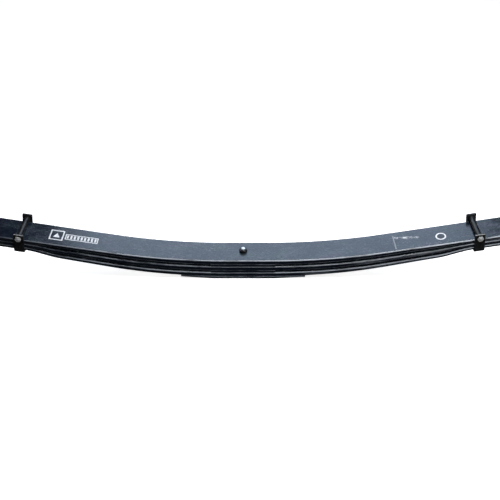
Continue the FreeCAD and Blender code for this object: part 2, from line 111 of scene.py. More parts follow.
def nothingSelected():
    if bpy.context.object and bpy.context.object.mode != "OBJECT":
        bpy.ops.object.mode_set(mode="OBJECT")
    bpy.ops.object.select_all(action="DESELECT")


def startPiece(name, primitive, **shape):
    nothingSelected()
    getattr(bpy.ops.mesh, "primitive_" + primitive + "_add")(**shape)
    piece = bpy.context.object
    piece.name = name
    piece.data.name = name
    bpy.ops.object.transform_apply(location=True, rotation=True, scale=True)
    bpy.ops.object.mode_set(mode="EDIT")
    return piece


# selects the parts of the mesh that the test is true for
def pick(piece, kind, test):
    mesh = bmesh.from_edit_mesh(piece.data)
    bpy.context.tool_settings.mesh_select_mode = (kind == "verts", kind == "edges", kind == "faces")
    bpy.ops.mesh.select_all(action="DESELECT")
    for item in getattr(mesh, kind):
        if test(item):
            item.select_set(True)
    mesh.select_flush_mode()
    bmesh.update_edit_mesh(piece.data)


def mid(edge):
    return (edge.verts[0].co + edge.verts[1].co) / 2


def along(edge):
    return (edge.verts[1].co - edge.verts[0].co).normalized()


# rounds every edge sharper than the angle
def soften(piece, width, segments=2, degrees=30):
    pick(piece, "edges", lambda edge: edge.is_manifold and edge.calc_face_angle(0) > math.radians(degrees))
    bpy.ops.mesh.bevel(offset=width, segments=segments, affect="EDGES", clamp_overlap=True)


# draws an outline of (radius, height) points and turns it about Z
def lathe(name, outline, steps=56, turn=360.0, rise=0.0):
    piece = startPiece(name, "plane", size=0.001)
    bpy.context.tool_settings.mesh_select_mode = (True, False, False)
    bpy.ops.mesh.select_all(action="SELECT")
    bpy.ops.mesh.merge(type="CENTER")
    bpy.ops.transform.translate(value=(outline[0][0], 0, outline[0][1]))
    for before, after in zip(outline, outline[1:]):
        step = (after[0] - before[0], 0, after[1] - before[1])
        bpy.ops.mesh.extrude_vertices_move(TRANSFORM_OT_translate={"value": step})
    bpy.ops.mesh.select_all(action="SELECT")
    bpy.ops.mesh.remove_doubles(threshold=1e-7)
    bpy.ops.mesh.spin(steps=steps, angle=math.radians(turn), center=(0, 0, 0), axis=(0, 0, 1))
    bpy.ops.mesh.select_all(action="SELECT")
    bpy.ops.mesh.remove_doubles(threshold=1e-6)
    if turn < 360:
        pick(piece, "edges", lambda edge: edge.is_boundary)
        bpy.ops.mesh.edge_face_add()
    bpy.ops.mesh.select_all(action="SELECT")
    bpy.ops.mesh.normals_make_consistent(inside=False)
    return piece


# joins, cuts or crosses a piece with a tool piece, which is used up
def combine(piece, tool, operation):
    nothingSelected()
    change = piece.modifiers.new("change", "BOOLEAN")
    change.object = tool
    change.operation = operation
    change.solver = "EXACT"
    piece.select_set(True)
    bpy.context.view_layer.objects.active = piece
    bpy.ops.object.modifier_apply(modifier="change")
    bpy.data.objects.remove(tool)
    return piece


# remembers where each point lies on the piece, puts it in place and hands it to its body
def finishPiece(piece, matrix, material, nodeName, body, degrees=35):
    nothingSelected()
    local = piece.data.attributes.new("place", "FLOAT_VECTOR", "POINT")
    for vertex in piece.data.vertices:
        local.data[vertex.index].vector = vertex.co
    piece.data.transform(matrix)
    piece.select_set(True)
    bpy.context.view_layer.objects.active = piece
    bpy.ops.object.shade_smooth_by_angle(angle=math.radians(degrees))
    flatter = piece.modifiers.new("flatter", "WEIGHTED_NORMAL")
    flatter.keep_sharp = True
    bpy.ops.object.modifier_apply(modifier="flatter")
    piece.data.materials.clear()
    piece.data.materials.append(material)
    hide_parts(nodeName)
    if body:
        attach(piece, body)
    return piece


# one node, its settings, and its inputs given as values or as sockets to join
def add(material, kind, inputs=None, **settings):
    node = material.node_tree.nodes.new("ShaderNode" + kind)
    for key, value in settings.items():
        setattr(node, key, value)
    for key, value in (inputs or {}).items():
        if isinstance(value, bpy.types.NodeSocket):
            material.node_tree.links.new(value, node.inputs[key])
        else:
            node.inputs[key].default_value = value
    return node


def newMaterial(name, metallic=0.0, specular=0.5):
    material = bpy.data.materials.new(name)
    material.use_nodes = True
    material.node_tree.nodes.clear()
    shader = add(material, "BsdfPrincipled", {"Metallic": metallic, "Specular IOR Level": specular})
    output = add(material, "OutputMaterial", {"Surface": shader.outputs["BSDF"]})
    output.location = (300, 0)
    return material, shader


def join(material, source, target):
    material.node_tree.links.new(source, target)


def placeOn(material):
    return add(material, "Attribute", attribute_name="place").outputs["Vector"]


def stretched(material, place, scale):
    return add(material, "Mapping", {"Vector": place, "Scale": scale}).outputs["Vector"]


def noiseAt(material, place, scale, detail=3.0, roughness=0.55):
    return add(material, "TexNoise",
               {"Vector": place, "Scale": scale, "Detail": detail, "Roughness": roughness}).outputs["Fac"]


def between(material, value, low, high, to=(0.0, 1.0), smooth=True):
    node = add(material, "MapRange",
               {"Value": value, "From Min": low, "From Max": high, "To Min": to[0], "To Max": to[1]},
               interpolation_type="SMOOTHSTEP" if smooth else "LINEAR")
    return node.outputs["Result"]


def maths(material, kind, first, second=0.0):
    return add(material, "Math", {0: first, 1: second}, operation=kind).outputs["Value"]


def times(material, *values):
    result = values[0]
    for value in values[1:]:
        result = maths(material, "MULTIPLY", result, value)
    return result


def mixColour(material, factor, first, second):
    node = add(material, "Mix", {"Factor": factor}, data_type="RGBA")
    for slot, value in ((6, first), (7, second)):
        if isinstance(value, bpy.types.NodeSocket):
            join(material, value, node.inputs[slot])
        else:
            node.inputs[slot].default_value = (*value, 1)
    return node.outputs[2]


def bumps(material, shader, layers):
    normal = None
    for height, strength, distance in layers:
        inputs = {"Height": height, "Strength": strength, "Distance": distance}
        if normal:
            inputs["Normal"] = normal
        normal = add(material, "Bump", inputs).outputs["Normal"]
    join(material, normal, shader.inputs["Normal"])


# spring paint colours: the bluish haze colours are partly painted sheen, the pale wear colour is partly a
# painted highlight, and the side darkening is painted shade
leafPaint = {
    "colour": (0.0040, 0.0072, 0.0145), "sheenHaze": (0.072, 0.080, 0.108), "tint": (0.058, 0.088, 0.094),
    "dust": (0.13, 0.15, 0.19),
    "wearAndHighlight": (0.44, 0.49, 0.57), "rough": 0.20, "specular": 0.5, "sheenHazeAmount": 0.9, "scratchAmount": 0.6,
    "paintedSideShade": 0.85,
    "grain": 0.00016, "waves": 0.0005, "edgeFrom": 0.0412, "edgeTo": 0.0432, "chalk": (0.80, 0.82, 0.86),
}
marks = {
    "badge": {"at": (-0.5782, 0.0), "half": (0.0205, 0.0225), "line": 0.0036},
    "panel": {"at": (-0.5025, -0.0018), "half": (0.0495, 0.0125), "line": 0.0027, "bars": 96.0},
    "ring": {"at": (0.6121, -0.0066), "radius": 0.0137, "line": 0.0019},
    "smudge": {"from": (0.474, 0.0165), "to": (0.5485, 0.0042), "half": 0.0060},
    "drip": {"x": 0.4715, "half": 0.0019, "y": (-0.036, 0.026)},
}


def insideBox(material, x, y, at, half, soft=0.0007):
    apart = []
    for value, middle, reach in ((x, at[0], half[0]), (y, at[1], half[1])):
        off = maths(material, "ABSOLUTE", maths(material, "SUBTRACT", value, middle))
        apart.append(between(material, off, reach + soft, reach - soft))
    return times(material, *apart)


def frameOf(material, x, y, at, half, line):
    inner = insideBox(material, x, y, at, (half[0] - line, half[1] - line))
    return maths(material, "SUBTRACT", insideBox(material, x, y, at, half), inner)


# workshop marks in chalk-white paint: a badge frame with a triangle, a barred panel, a ring and a smudge
def chalkMarks(material, place, x, y):
    badge, panel, ring, smudge, drip = (marks[key] for key in ("badge", "panel", "ring", "smudge", "drip"))
    up = maths(material, "SUBTRACT", y, badge["at"][1] - 0.010)
    off = maths(material, "ABSOLUTE", maths(material, "SUBTRACT", x, badge["at"][0]))
    slant = maths(material, "ADD", off, times(material, up, 0.5))
    triangle = times(material, between(material, slant, 0.0104, 0.0094), between(material, up, 0.0, 0.0008))
    solid = maths(material, "MAXIMUM", frameOf(material, x, y, badge["at"], badge["half"], badge["line"]),
                  triangle)
    bar = between(material, maths(material, "FRACT", times(material, x, panel["bars"])), 0.42, 0.50)
    inner = (panel["half"][0] - 0.005, panel["half"][1] - 0.005)
    bars = times(material, bar, insideBox(material, x, y, panel["at"], inner), 0.9)
    solid = maths(material, "MAXIMUM", solid,
                  frameOf(material, x, y, panel["at"], panel["half"], panel["line"]))
    solid = maths(material, "MAXIMUM", solid, bars)
    dx = maths(material, "SUBTRACT", x, ring["at"][0])
    dy = maths(material, "SUBTRACT", y, ring["at"][1])
    far = maths(material, "SQRT", maths(material, "ADD", times(material, dx, dx), times(material, dy, dy)))
    offRing = maths(material, "ABSOLUTE", maths(material, "SUBTRACT", far, ring["radius"]))
    solid = maths(material, "MAXIMUM", solid,
                  between(material, offRing, ring["line"] + 0.0008, ring["line"] - 0.0004))
    brushed = between(material, noiseAt(material, stretched(material, place, (160, 420, 200)), 1.0, 3.0),
                      0.30, 0.48, (0.45, 1.0))
    solid = times(material, solid, brushed)
    fall = (smudge["to"][1] - smudge["from"][1]) / (smudge["to"][0] - smudge["from"][0])
    middle = maths(material, "MULTIPLY_ADD", x, fall)
    middle.node.inputs[2].default_value = smudge["from"][1] - fall * smudge["from"][0]
    offBand = maths(material, "ABSOLUTE", maths(material, "SUBTRACT", y, middle))
    band = between(material, offBand, smudge["half"], smudge["half"] * 0.3)
    span = insideBox(material, x, y, ((smudge["from"][0] + smudge["to"][0]) / 2, 0), (0.036, 0.045), 0.004)
    dusty = between(material, noiseAt(material, stretched(material, place, (70, 260, 200)), 1.0, 4.0), 0.44,
                    0.60, (0.0, 0.75))
    rubbed = times(material, band, span, dusty)
    dripAt = (drip["x"], sum(drip["y"]) / 2)
    rubbed = maths(material, "MAXIMUM", rubbed,
                   times(material, insideBox(material, x, y, dripAt, (drip["half"], 0.031)), 0.22))
    core = between(material, far, ring["radius"], ring["radius"] - 0.001)
    return maths(material, "MAXIMUM", solid, rubbed), core


# blue-black spring paint: a bluish haze on the top that is partly dust and partly painted sheen, painted
# shade on the sides and towards the front end, dust specks, fine scratches along the leaf, rubbed edges
# partly painted as highlights, and scuffed sides partly painted as light
def paintMaterial(name, values, marked, edges, sideScuffsAndLight):
    material, shader = newMaterial(name, specular=values["specular"])
    place = placeOn(material)
    parts = add(material, "SeparateXYZ", {"Vector": place}).outputs
    # painted sheen: a bluish haze noise over the top face, partly dust and partly a painted reflection
    sheenHaze = between(material, noiseAt(material, stretched(material, place, (11, 20, 20)), 1.0, 6.0, 0.65),
                   0.42, 0.66)
    mottle = between(material, noiseAt(material, stretched(material, place, (70, 110, 110)), 1.0, 4.0, 0.7),
                     0.46, 0.70)
    specks = between(material, noiseAt(material, place, 480.0, 1.0), 0.71, 0.78)
    scratches = between(material, noiseAt(material, stretched(material, place, (14, 640, 640)), 1.0, 2.0),
                        0.66, 0.74)
    patches = between(material, noiseAt(material, stretched(material, place, (8, 28, 28)), 1.0, 3.0), 0.48,
                      0.66)
    acrossAbs = maths(material, "ABSOLUTE", parts["Y"])
    # painted shade: the sides keep little of the haze, scratches and specks, so they stay darker than the
    # top
    sideShadeMask = between(material, acrossAbs, 0.0444, 0.0448, (1.0, 1.0 - values["paintedSideShade"]))
    # painted shade: the haze fades out towards the front end, so that end of the top stays dark
    frontEndShade = between(material, parts["X"], -0.78, -0.42, (0.22, 1.0))
    sheenHazeMask = times(material, maths(material, "ADD", sheenHaze, mottle), sideShadeMask, frontEndShade, values["sheenHazeAmount"] * 0.5)
    hue = between(material, noiseAt(material, stretched(material, place, (13, 30, 30)), 1.0, 3.0), 0.42,
                  0.60)
    sheenHazeColour = mixColour(material, hue, values["sheenHaze"], values["tint"])
    colour = mixColour(material, sheenHazeMask, values["colour"], sheenHazeColour)
    colour = mixColour(material, times(material, scratches, patches, sideShadeMask, values["scratchAmount"]),
                       colour, values["dust"])
    colour = mixColour(material, times(material, specks, sideShadeMask, 0.35), colour, values["dust"])
    # rubbed edges, partly painted highlight: pale colour on the rounded edges, made fainter towards the
    # front end as painted shade
    rounding = times(material, between(material, acrossAbs, values["edgeFrom"], values["edgeTo"]),
                     between(material, acrossAbs, 0.04495, 0.04455))
    ragged = between(material, noiseAt(material, stretched(material, place, (12, 60, 160)), 1.0, 6.0, 0.7),
                     edges[0], edges[1])
    frontEndEdgeShade = between(material, parts["X"], -0.72, -0.30, (0.25, 1.0))
    wearAndHighlightMask = times(material, rounding, ragged, frontEndEdgeShade, edges[2])
    # scuffed sides, partly painted light: the pale scuffs only cover a span of the sides, where those faces
    # look lit
    rubbed = between(material, noiseAt(material, stretched(material, place, (10, 30, 240)), 1.0, 6.0, 0.7),
                     0.44, 0.66)
    side = times(material, between(material, acrossAbs, 0.0444, 0.0448), rubbed, sideScuffsAndLight[2],
                 between(material, parts["X"], sideScuffsAndLight[0], sideScuffsAndLight[0] + 0.07),
                 between(material, parts["X"], sideScuffsAndLight[1], sideScuffsAndLight[1] - 0.09))
    wearAndHighlightMask = maths(material, "MAXIMUM", wearAndHighlightMask, side)
    colour = mixColour(material, wearAndHighlightMask, colour, values["wearAndHighlight"])
    rough = between(material, sheenHaze, 0.0, 1.0, (values["rough"], values["rough"] + 0.08), smooth=False)
    rough = maths(material, "ADD", rough, times(material, mottle, 0.05))
    rough = maths(material, "ADD", rough, times(material, wearAndHighlightMask, 0.12))
    if marked:
        chalk, core = chalkMarks(material, place, parts["X"], parts["Y"])
        above = between(material, parts["Z"], -0.002, -0.0008)
        chalk = times(material, chalk, above)
        colour = mixColour(material, chalk, colour, values["chalk"])
        rough = maths(material, "ADD", rough, times(material, chalk, 0.3))
        rough = maths(material, "ADD", rough, times(material, core, 0.12))
    join(material, colour, shader.inputs["Base Color"])
    join(material, rough, shader.inputs["Roughness"])
    bumps(material, shader, (
        (noiseAt(material, place, 900.0, 2.0), 0.15, values["grain"]),
        (noiseAt(material, stretched(material, place, (9, 22, 22)), 1.0, 2.0), 0.3, values["waves"])))
    return material


paints = {
    "top": paintMaterial("springPaintTop", leafPaint, True, (0.30, 0.52, 0.85), (2.0, 3.0, 0.0)),
    "second": paintMaterial("springPaintSecond", leafPaint, False, (0.34, 0.56, 0.6), (0.32, 0.66, 0.60)),
    "third": paintMaterial("springPaintThird", leafPaint, False, (0.30, 0.54, 0.75), (0.16, 0.66, 0.36)),
    "liner": paintMaterial("linerPaint", leafPaint, False, (0.40, 0.6, 0.4), (2.0, 3.0, 0.0)),
    "plate": paintMaterial("platePaint", leafPaint, False, (0.34, 0.54, 0.7), (-0.25, 0.3, 0.45)),
}
print("spring paint ready")

# black satin paint of the clips with pale chips; the ears' tops are worn bright, partly as a painted
# highlight
clipPaint = {"colour": (0.0065, 0.0068, 0.0075), "grey": (0.030, 0.031, 0.034), "wearAndHighlight": (0.52, 0.53, 0.54),
             "rough": 0.40}


def clipPaintMaterial(name, values, highlightWearFrom, highlightWearTo):
    material, shader = newMaterial(name, specular=0.45)
    place = placeOn(material)
    parts = add(material, "SeparateXYZ", {"Vector": place}).outputs
    height = parts["Z"]
    outward = between(material, maths(material, "ABSOLUTE", parts["Y"]), 0.0508, 0.0520)
    cloudy = between(material, noiseAt(material, place, 60.0, 4.0), 0.42, 0.72)
    streaks = between(material, noiseAt(material, stretched(material, place, (500, 500, 40)), 1.0, 2.0),
                      0.62, 0.76)
    colour = mixColour(material, times(material, cloudy, 0.5), values["colour"], values["grey"])
    colour = mixColour(material, times(material, streaks, 0.25), colour, values["grey"])
    chipped = between(material, noiseAt(material, place, 380.0, 5.0, 0.7), 0.34, 0.52)
    specks = between(material, noiseAt(material, place, 240.0, 4.0, 0.7), 0.70, 0.74)
    # worn and painted highlight: a pale chipped band along the top of each ear's outer face
    wearAndHighlightMask = maths(material, "MAXIMUM",
                 times(material, between(material, height, highlightWearFrom, highlightWearTo), outward, chipped), specks)
    colour = mixColour(material, wearAndHighlightMask, colour, values["wearAndHighlight"])
    join(material, colour, shader.inputs["Base Color"])
    rough = maths(material, "ADD",
                  between(material, cloudy, 0.0, 1.0, (values["rough"], values["rough"] + 0.12)),
                  times(material, wearAndHighlightMask, 0.1))
    join(material, rough, shader.inputs["Roughness"])
    bumps(material, shader, (
        (noiseAt(material, place, 1100.0, 2.0), 0.25, 0.0002),
        (noiseAt(material, place, 130.0, 2.0), 0.25, 0.0003)))
    return material


# plated or turned steel: fine marks, dull patches and a few dark pits
def metalMaterial(name, colour, dull, rough, grainScale, marksAmount=0.35, metallic=1.0):
    material, shader = newMaterial(name, metallic=metallic)
    place = placeOn(material)
    patches = between(material, noiseAt(material, place, 170.0, 4.0), 0.40, 0.68)
    grain = noiseAt(material, stretched(material, place, grainScale), 1.0, 3.0, 0.6)
    pits = between(material, noiseAt(material, place, 700.0, 2.0), 0.68, 0.76)
    tone = mixColour(material, patches, colour, dull)
    tone = mixColour(material, times(material, between(material, grain, 0.40, 0.70), marksAmount), tone,
                     dull)
    tone = mixColour(material, times(material, pits, 0.7), tone, (0.06, 0.055, 0.05))
    join(material, tone, shader.inputs["Base Color"])
    rougher = maths(material, "ADD", between(material, patches, 0.0, 1.0, (rough, rough + 0.16)),
                    times(material, pits, 0.3))
    join(material, rougher, shader.inputs["Roughness"])
    bumps(material, shader, ((grain, 0.2, 0.0001), (noiseAt(material, place, 900.0, 2.0), 0.15, 0.0001)))
    return material


# moulded rubber or plastic: matt, with a fine grain, pale bloom and dust
def mouldedMaterial(name, colour, bloom, rough, scale):
    material, shader = newMaterial(name, specular=0.35)
    place = placeOn(material)
    cloudy = between(material, noiseAt(material, place, scale, 5.0), 0.45, 0.75)
    dust = between(material, noiseAt(material, place, scale * 9, 2.0), 0.62, 0.78)
    tone = mixColour(material, times(material, cloudy, 0.5), colour, bloom)
    tone = mixColour(material, times(material, dust, 0.4), tone, bloom)
    join(material, tone, shader.inputs["Base Color"])
    join(material, between(material, cloudy, 0.0, 1.0, (rough, rough + 0.12)), shader.inputs["Roughness"])
    bumps(material, shader,
          ((noiseAt(material, place, 1600.0, 2.0), 0.4, 0.0001),
           (noiseAt(material, place, 90.0, 3.0), 0.3, 0.0003)))
    return material


finishes = {
    "strap": clipPaintMaterial("strapPaint", clipPaint, 0.0225, 0.0234),
    "tube": clipPaintMaterial("tubePaint", clipPaint, 2.0, 3.0),
    "rivet": clipPaintMaterial("rivetPaint", clipPaint, 2.0, 3.0),
    "nut": metalMaterial("blackNut", (0.040, 0.041, 0.044), (0.022, 0.022, 0.024), 0.34, (300, 300, 60)),
    "zinc": metalMaterial("zincPlate", (0.74, 0.75, 0.77), (0.42, 0.43, 0.44), 0.30, (240, 240, 240),
                          metallic=0.4),
    "steel": metalMaterial("turnedSteel", (0.56, 0.55, 0.53), (0.34, 0.33, 0.31), 0.26, (60, 60, 1500)),
    "rubber": mouldedMaterial("bushRubber", (0.012, 0.012, 0.012), (0.07, 0.07, 0.068), 0.62, 70.0),
    "plastic": mouldedMaterial("padPlastic", (0.022, 0.022, 0.023), (0.09, 0.09, 0.09), 0.5, 110.0),
}
print("clip, steel and rubber finishes ready")


# how long the straight bar is before it is tapered, cambered and rolled
def barLength(level, arm):
    if level == 0:
        return arm["eye"] + (spring["eyeBore"] + spring["tip"] / 2) * spring["eyeWrap"]
    if level == 1:
        middle = spring["eyeBore"] + spring["tip"] * 1.5 + spring["tipGap"]
        return arm["eye"] + spring["wrapShift"] + middle * spring["wrap"]
    return arm["eye"] - spring["thirdShort"]


# where a point of the straight bar ends up on the finished leaf
def bentPoint(level, arm, reach, across, depth):
    thick = leafThick(reach)
    if depth > spring["thick"] / 2:
        depth -= spring["thick"] - thick
    drop = level * (thick + leafGap(arm, reach)) + depth
    if level == 0 and reach > arm["eye"]:
        angle = (reach - arm["eye"]) / (spring["eyeBore"] + spring["tip"] / 2)
        return onCurl(arm, arm["eye"], spring["eyeBore"] + drop, angle, across)
    start = arm["eye"] + spring["wrapShift"]
    if level == 1 and reach > start:
        middle = spring["eyeBore"] + spring["tip"] * 1.5 + spring["tipGap"]
        return onCurl(arm, start, spring["eyeBore"] + drop, (reach - start) / middle, across)
    return onLeaf(arm, reach, drop, across)


leafBar = {"step": 0.004, "edgeSteps": 4, "support": 0.0006, "cornerCut": 0.018, "sideWave": 0.0003,
           "pegReach": 0.078, "pegHole": 0.0063}


# each leaf is a front and a rear half that meet at the centre bolt
def leafHalf(level, nodeName, armName):
    arm = arms[armName]
    length = barLength(level, arm)
    half = startPiece(nodeName + "_" + armName, "cube", size=1)
    bpy.ops.transform.resize(value=(length, spring["width"], spring["thick"]))
    bpy.ops.transform.translate(value=(length / 2, 0, -spring["thick"] / 2))
    pick(half, "edges", lambda edge: abs(along(edge).x) > 0.9)
    bpy.ops.mesh.bevel(offset=spring["edge"], segments=leafBar["edgeSteps"], affect="EDGES")
    # lines beside the rounding keep the flat faces flat
    flat = spring["edge"] + leafBar["support"]
    for across in (flat - spring["width"] / 2, spring["width"] / 2 - flat):
        bpy.ops.mesh.select_all(action="SELECT")
        bpy.ops.mesh.bisect(plane_co=(0, across, 0), plane_no=(0, 1, 0))
    for height in (-flat, flat - spring["thick"]):
        bpy.ops.mesh.select_all(action="SELECT")
        bpy.ops.mesh.bisect(plane_co=(0, 0, height), plane_no=(0, 0, 1))
    pick(half, "edges", lambda edge: abs(along(edge).x) > 0.9)
    bpy.ops.mesh.subdivide(number_cuts=round(length / leafBar["step"]))
    if level == 2:
        for hand in (-1, 1):
            bpy.ops.mesh.select_all(action="SELECT")
            corner = (length, hand * (spring["width"] / 2 - leafBar["cornerCut"]), 0)
            bpy.ops.mesh.bisect(plane_co=corner, plane_no=(1, hand, 0), use_fill=True, clear_outer=True)
        hole = startPiece("pegHole", "cylinder", vertices=40, radius=leafBar["pegHole"], depth=0.06,
                          location=(arm["clip"] + leafBar["pegReach"], 0, 0))
        combine(half, hole, "DIFFERENCE")
    nothingSelected()
    rest = half.data.attributes.new("place", "FLOAT_VECTOR", "POINT")
    for vertex in half.data.vertices:
        reach, across, depth = vertex.co.x, vertex.co.y, -vertex.co.z
        rest.data[vertex.index].vector = (arm["side"] * reach, across, -depth - level * 0.03)
        if abs(across) > spring["width"] / 2 - spring["edge"]:
            wave = noise.noise((reach * 16, across * 20 + level * 7, arm["side"] * 5))
            across -= math.copysign(abs(wave) * leafBar["sideWave"], across)
        vertex.co = bentPoint(level, arm, reach, across, depth)
    if arm["side"] < 0:
        half.data.flip_normals()
    half.select_set(True)
    bpy.context.view_layer.objects.active = half
    bpy.ops.object.shade_smooth_by_angle(angle=math.radians(40))
    half.data.materials.append(paints[("top", "second", "third")[level]])
    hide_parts(nodeName)
    return half


for level, nodeName in enumerate(("main_leaf", "second_leaf", "third_leaf")):
    for armName, arm in arms.items():
        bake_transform(leafHalf(level, nodeName, armName))
print("leaves bent")

seatParts = {
    "linerReach": 0.1, "linerEdge": 0.0007, "step": 0.005, "boltHole": 0.0075,
    "plateReach": 0.195, "plateFlat": 0.095, "plateTip": 0.003, "plateEdge": 0.0009, "headRadius": 0.014,
}


def armAt(x):
    return arms["front" if x < 0 else "rear"]


# a flat bar of that half length with softened edges, cut into short steps along X,
# and the bolt's hole through it
def flatBar(name, reach, thick, edge, hole):
    bar = startPiece(name, "cube", size=1)
    bpy.ops.transform.resize(value=(2 * reach, spring["width"], thick))
    bpy.ops.transform.translate(value=(0, 0, -thick / 2))
    soften(bar, edge, 2)
    pick(bar, "edges",
         lambda edge: abs(along(edge).x) > 0.99 and abs(edge.verts[0].co.x - edge.verts[1].co.x) > reach)
    bpy.ops.mesh.subdivide(number_cuts=round(2 * reach / seatParts["step"]))
    drill = startPiece(name + "Drill", "cylinder", vertices=48, radius=hole, depth=0.1)
    return combine(bar, drill, "DIFFERENCE")


def makeLiner(name, leaves, gaps):
    bar = flatBar(name + "_liner", seatParts["linerReach"], spring["spacer"], seatParts["linerEdge"],
                  seatParts["boltHole"])
    bent = bar.copy()
    bent.data = bar.data.copy()
    for vertex in bent.data.vertices:
        across, depth = vertex.co.y, -vertex.co.z
        vertex.co = onLeaf(armAt(vertex.co.x), abs(vertex.co.x),
                           dropOf(arms["front"], 0, leaves, gaps) + depth, across)
    shape = [vertex.co.copy() for vertex in bent.data.vertices]
    bpy.data.objects.remove(bent)
    finishPiece(bar, Matrix.Identity(4), paints["liner"], name, "centre")
    for vertex, at in zip(bar.data.vertices, shape):
        vertex.co = at


# flat underneath, its ends thinned and running straight on along the leaf
def makePlate():
    reach = seatParts["plateReach"]
    bar = flatBar("bottom_plate_seat", reach, 0.008, seatParts["plateEdge"], seatParts["boltHole"])
    sink = lathe("headSink",
                 [(0, -0.02), (seatParts["headRadius"] + 0.012, -0.02),
                  (seatParts["boltHole"], 0.0145 - 0.008), (0, 0.0145 - 0.008)])
    placedAt = Matrix.Translation((0, 0, -0.008))
    nothingSelected()
    sink.data.transform(placedAt)
    combine(bar, sink, "DIFFERENCE")
    shape = []
    drop = dropOf(arms["front"], 0, 3, 2)
    for vertex in bar.data.vertices:
        x, across, depth = abs(vertex.co.x), vertex.co.y, -vertex.co.z
        arm = armAt(vertex.co.x)
        start = spring["taperFrom"]
        top = onLeaf(arm, min(x, start), drop)
        heading = leafSlope(arm, start)
        if x > start:
            top += Vector((arm["side"] * math.cos(heading), 0, math.sin(heading))) * (x - start)
        low = 0.0
        if x > seatParts["plateFlat"]:
            tip = onLeaf(arm, start, drop).z + math.sin(heading) * (reach - start) - seatParts["plateTip"]
            low = tip * (x - seatParts["plateFlat"]) / (reach - seatParts["plateFlat"])
        thin = min((top.z - low) / 0.008, 1.0)
        z = top.z - depth * thin if depth <= 0.004 else low + (0.008 - depth) * thin
        shape.append(Vector((top.x, across, z)))
    finishPiece(bar, Matrix.Identity(4), paints["plate"], "bottom_plate", "centre")
    for vertex, at in zip(bar.data.vertices, shape):
        vertex.co = at


makeLiner("upper_spacer", 1, 0)
makeLiner("lower_spacer", 2, 1)
makePlate()
print("liners and bottom plate ready")

clip = {
    "strapWidth": 0.03, "strapThick": 0.006, "play": 0.0015, "bend": 0.004, "ear": 0.024, "earRound": 0.003,
    "edge": 0.0008,
    "axis": 0.0105, "bolt": 0.005, "tube": 0.008, "tubeWall": 0.0025,
    "across": 0.016, "head": 0.0064, "nut": 0.005, "nutBore": 0.00505, "washer": 0.009,
    "washerThick": 0.0022, "boltEnd": 0.0015,
    "rivet": 0.005, "rivetHead": 0.009, "rivetDome": 0.005, "thread": 0.0015, "threadDepth": 0.0007,
}
strapInside = spring["width"] / 2 + clip["play"]
strapOutside = strapInside + clip["strapThick"]


def strapDrop(arm):
    return dropOf(arm, arm["clip"] - clip["strapWidth"] / 2, 3, 2) + spring["fit"]


# half a flat bar bent up to an ear, then mirrored across the leaf
def makeStrap(armName, arm):
    wide, thick = clip["strapWidth"], clip["strapThick"]
    turn = clip["bend"] + thick
    low = -strapDrop(arm) - thick
    strap = startPiece(armName + "_clip_strap_bent", "plane", size=1)
    bpy.ops.mesh.select_all(action="SELECT")
    bpy.ops.transform.rotate(value=math.pi / 2, orient_axis="X", center_override=(0, 0, 0))
    bpy.ops.transform.resize(value=(wide, 1, thick))
    bpy.ops.transform.translate(value=(0, 0, low + thick / 2))
    bpy.ops.mesh.extrude_region_move(TRANSFORM_OT_translate={"value": (0, strapOutside - turn, 0)})
    bpy.ops.mesh.spin(steps=10, angle=-math.pi / 2, center=(0, strapOutside - turn, low + turn),
                      axis=(1, 0, 0))
    bpy.ops.mesh.extrude_region_move(TRANSFORM_OT_translate={"value": (0, 0, clip["ear"] - low - turn)})
    bpy.ops.mesh.select_all(action="SELECT")
    bpy.ops.mesh.remove_doubles(threshold=1e-6)
    pick(strap, "faces", lambda face: all(abs(vertex.co.y) < 1e-6 for vertex in face.verts))
    bpy.ops.mesh.delete(type="FACE")
    nothingSelected()
    mirror = strap.modifiers.new("mirror", "MIRROR")
    mirror.use_axis = (False, True, False)
    mirror.use_clip = True
    strap.select_set(True)
    bpy.context.view_layer.objects.active = strap
    bpy.ops.object.modifier_apply(modifier="mirror")
    bpy.ops.object.mode_set(mode="EDIT")
    bpy.ops.mesh.select_all(action="SELECT")
    bpy.ops.mesh.normals_make_consistent(inside=False)
    pick(strap, "edges", lambda edge: abs(along(edge).y) > 0.9 and mid(edge).z > clip["ear"] - 1e-4)
    bpy.ops.mesh.bevel(offset=clip["earRound"], segments=6, affect="EDGES")
    soften(strap, clip["edge"], 2, 40)
    finishPiece(strap, leafFrame(arm, arm["clip"]), finishes["strap"],
                armName + "_clip_strap", armName + "_arm", 40)


# turns Z of a lathed or hexagon piece across the leaf, at the clip bolt's height
def acrossLeaf(arm, across, towardsNear):
    turn = Matrix.Rotation(math.radians(90 if towardsNear else -90), 4, "X")
    return leafFrame(arm, arm["clip"]) @ Matrix.Translation((0, across, clip["axis"])) @ turn


def threadOutline(radius, start, end, pitch, depth):
    outline = []
    height = start
    while height < end - pitch:
        outline += [(radius, height + pitch * 0.15), (radius - depth, height + pitch * 0.5),
                    (radius, height + pitch * 0.85)]
        height += pitch
    return outline


# a hexagon bar crossed with a turned blank, which leaves the curved bevels at its corners
def hexPiece(name, across, blank):
    height = max(point[1] for point in blank)
    hexagon = startPiece(name, "cylinder", vertices=6, radius=across / math.sqrt(3), depth=height + 0.004,
                         location=(0, 0, height / 2))
    bpy.ops.mesh.select_all(action="SELECT")
    bpy.ops.transform.rotate(value=math.radians(30), orient_axis="Z", center_override=(0, 0, 0))
    return combine(hexagon, lathe(name + "Blank", blank, 96), "INTERSECT")


